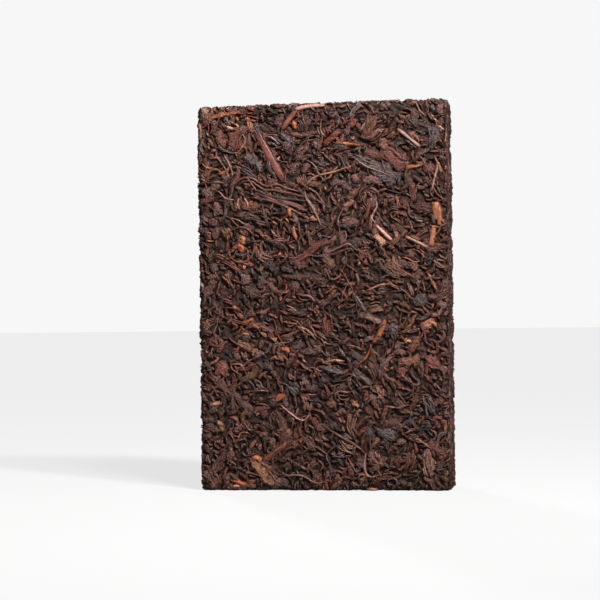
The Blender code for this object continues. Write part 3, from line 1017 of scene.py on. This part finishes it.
def build_brick():
    """Core first, with the buried leaves pressed into it, then every kind of leaf."""
    groups = (fibre_group(), mottle_group())
    lay_all([Lot(BURIED_KIND, by_hand=False)])
    relief = heights.copy()
    tints = tint_map.copy()
    tints[tints.sum(axis=1) == 0] = TINTS["ink"]
    lots = [Lot(kind) for kind in LEAF_KINDS]
    lay_all(lots)
    core = add_piece(core_mesh(relief, tints),
                     leaf_material("buried_leaf", groups, *CORE_FINISH, on_core=True))
    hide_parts(BRICK_NODE)
    for lot in lots:
        finish = FINISHES[lot.kind.name]
        add_piece(leaf_mesh(lot), leaf_material(lot.kind.name, groups, *finish))


# ---------------------------------------------------------------- table, backdrop, light and camera

FLOOR_COLOUR = (0.15, 0.15, 0.148, 1)   # what the floor throws back on the brick
FLOOR_GLOW = 0.73                       # paleness that only the camera and reflections see
BACKDROP_COLOUR = (0.93, 0.93, 0.93, 1)
REFLECTED_SHARE = 0.16                  # matt leaf mirrors only so much of the pale backdrop
SOFT_LIGHT = 0.012                      # even light from all round


def seen_directly(tree):
    """1 for what the camera, a reflection or a clear part shows, 0 for light on the brick."""
    path = add_node(tree, "ShaderNodeLightPath")
    first = add_node(tree, "ShaderNodeMath", {"operation": "MULTIPLY_ADD"}, {1: REFLECTED_SHARE})
    seen = add_node(tree, "ShaderNodeMath", {"operation": "ADD", "use_clamp": True})
    wire(tree, (
        (path, "Is Glossy Ray", first, 0),
        (path, "Is Camera Ray", first, 2),
        (first, "Value", seen, 0),
        (path, "Is Transmission Ray", seen, 1),
    ))
    return seen.outputs["Value"]


def floor_material():
    """Plain matt pale floor that keeps the brick's shadow."""
    material = bpy.data.materials.new("pale_floor")
    material.use_nodes = True
    tree = material.node_tree
    shader = tree.nodes["Principled BSDF"]
    shader.inputs["Base Color"].default_value = FLOOR_COLOUR
    shader.inputs["Roughness"].default_value = 0.9
    shader.inputs["Specular IOR Level"].default_value = 0.0
    shader.inputs["Emission Color"].default_value = (1, 1, 1, 1)
    glow = add_node(tree, "ShaderNodeMath", {"operation": "MULTIPLY"}, {1: FLOOR_GLOW})
    tree.links.new(seen_directly(tree), glow.inputs[0])
    tree.links.new(glow.outputs["Value"], shader.inputs["Emission Strength"])
    return material


def build_stage():
    """A pale floor, and a pale world that only the camera sees at full strength."""
    floor_grid = bmesh.new()
    bmesh.ops.create_grid(floor_grid, x_segments=1, y_segments=1, size=3.0)
    mesh = bpy.data.meshes.new("floor")
    floor_grid.to_mesh(mesh)
    floor_grid.free()
    mesh.materials.append(floor_material())
    floor = bpy.data.objects.new("floor", mesh)
    bpy.context.scene.collection.objects.link(floor)
    world = bpy.data.worlds.new("studio")
    world.use_nodes = True
    bpy.context.scene.world = world
    tree = world.node_tree
    tree.nodes.clear()
    output = tree.nodes.new("ShaderNodeOutputWorld")
    soft = add_node(tree, "ShaderNodeBackground", values={"Color": (1, 1, 1, 1), "Strength": SOFT_LIGHT})
    seen = add_node(tree, "ShaderNodeBackground", values={"Color": BACKDROP_COLOUR, "Strength": 1.0})
    mix = add_node(tree, "ShaderNodeMixShader")
    tree.links.new(seen_directly(tree), mix.inputs["Fac"])
    wire(tree, (
        (soft, "Background", mix, 1),
        (seen, "Background", mix, 2),
        (mix, "Shader", output, "Surface"),
    ))


def add_lamp(name, place, target, size, power):
    """A square soft lamp aimed at a point."""
    lamp = bpy.data.lights.new(name, "AREA")
    lamp.shape = "SQUARE"
    lamp.size = size
    lamp.energy = power
    holder = bpy.data.objects.new(name, lamp)
    holder.location = place
    holder.rotation_euler = (Vector(target) - Vector(place)).to_track_quat("-Z", "Y").to_euler()
    bpy.context.scene.collection.objects.link(holder)


def add_sun(name, direction, energy):
    """A hard lamp that shines the same way everywhere."""
    lamp = bpy.data.lights.new(name, "SUN")
    lamp.energy = energy
    lamp.angle = math.radians(6)
    holder = bpy.data.objects.new(name, lamp)
    holder.rotation_euler = Vector(direction).to_track_quat("-Z", "Y").to_euler()
    bpy.context.scene.collection.objects.link(holder)


def build_lights():
    """A hard main light from the right, a near one above in front, a weak fill, and one behind."""
    middle = (0, 0, 0.07)
    add_sun("key", (-0.62, 0.54, -0.56), 3.1)
    add_lamp("near", (0.10, -0.20, 0.38), middle, 0.06, 1.6)
    add_lamp("fill", (-0.60, -0.55, 0.25), middle, 0.50, 0.20)
    add_sun("behind", (0.42, -0.80, -0.42), 1.7)


VIEW_DISTANCE = 0.75                 # camera to the brick's middle line
VIEW_HEIGHT = 0.0722                 # camera above the table
VIEW_YAW = math.radians(8.62)        # camera to the right of straight ahead
VIEW_ASIDE = math.radians(0.75)      # the brick stands right of the picture's middle
VIEW_PITCH = math.radians(-0.25)
VIEW_ROLL = math.radians(-0.76)
LENS = 122.9


def build_camera():
    """Camera at the brick's mid height, a little to the right of straight ahead."""
    heading = VIEW_YAW + VIEW_ASIDE
    forward = Vector((-math.sin(heading) * math.cos(VIEW_PITCH),
                      math.cos(heading) * math.cos(VIEW_PITCH), math.sin(VIEW_PITCH)))
    level_right = forward.cross(Vector((0, 0, 1))).normalized()
    level_up = level_right.cross(forward)
    right = math.cos(VIEW_ROLL) * level_right + math.sin(VIEW_ROLL) * level_up
    up = right.cross(forward)
    place = Vector((VIEW_DISTANCE * math.sin(VIEW_YAW), -VIEW_DISTANCE * math.cos(VIEW_YAW), VIEW_HEIGHT))
    pose = Matrix((right, up, -forward)).transposed().to_4x4()
    pose.translation = place
    data = bpy.data.cameras.new("camera")
    data.lens = LENS
    data.sensor_width = 36
    data.clip_start = 0.01
    camera = bpy.data.objects.new("camera", data)
    camera.matrix_world = pose
    bpy.context.scene.collection.objects.link(camera)
    bpy.context.scene.camera = camera


build_camera()
build_stage()
build_lights()
build_brick()
bpy.context.scene.view_settings.view_transform = "Standard"
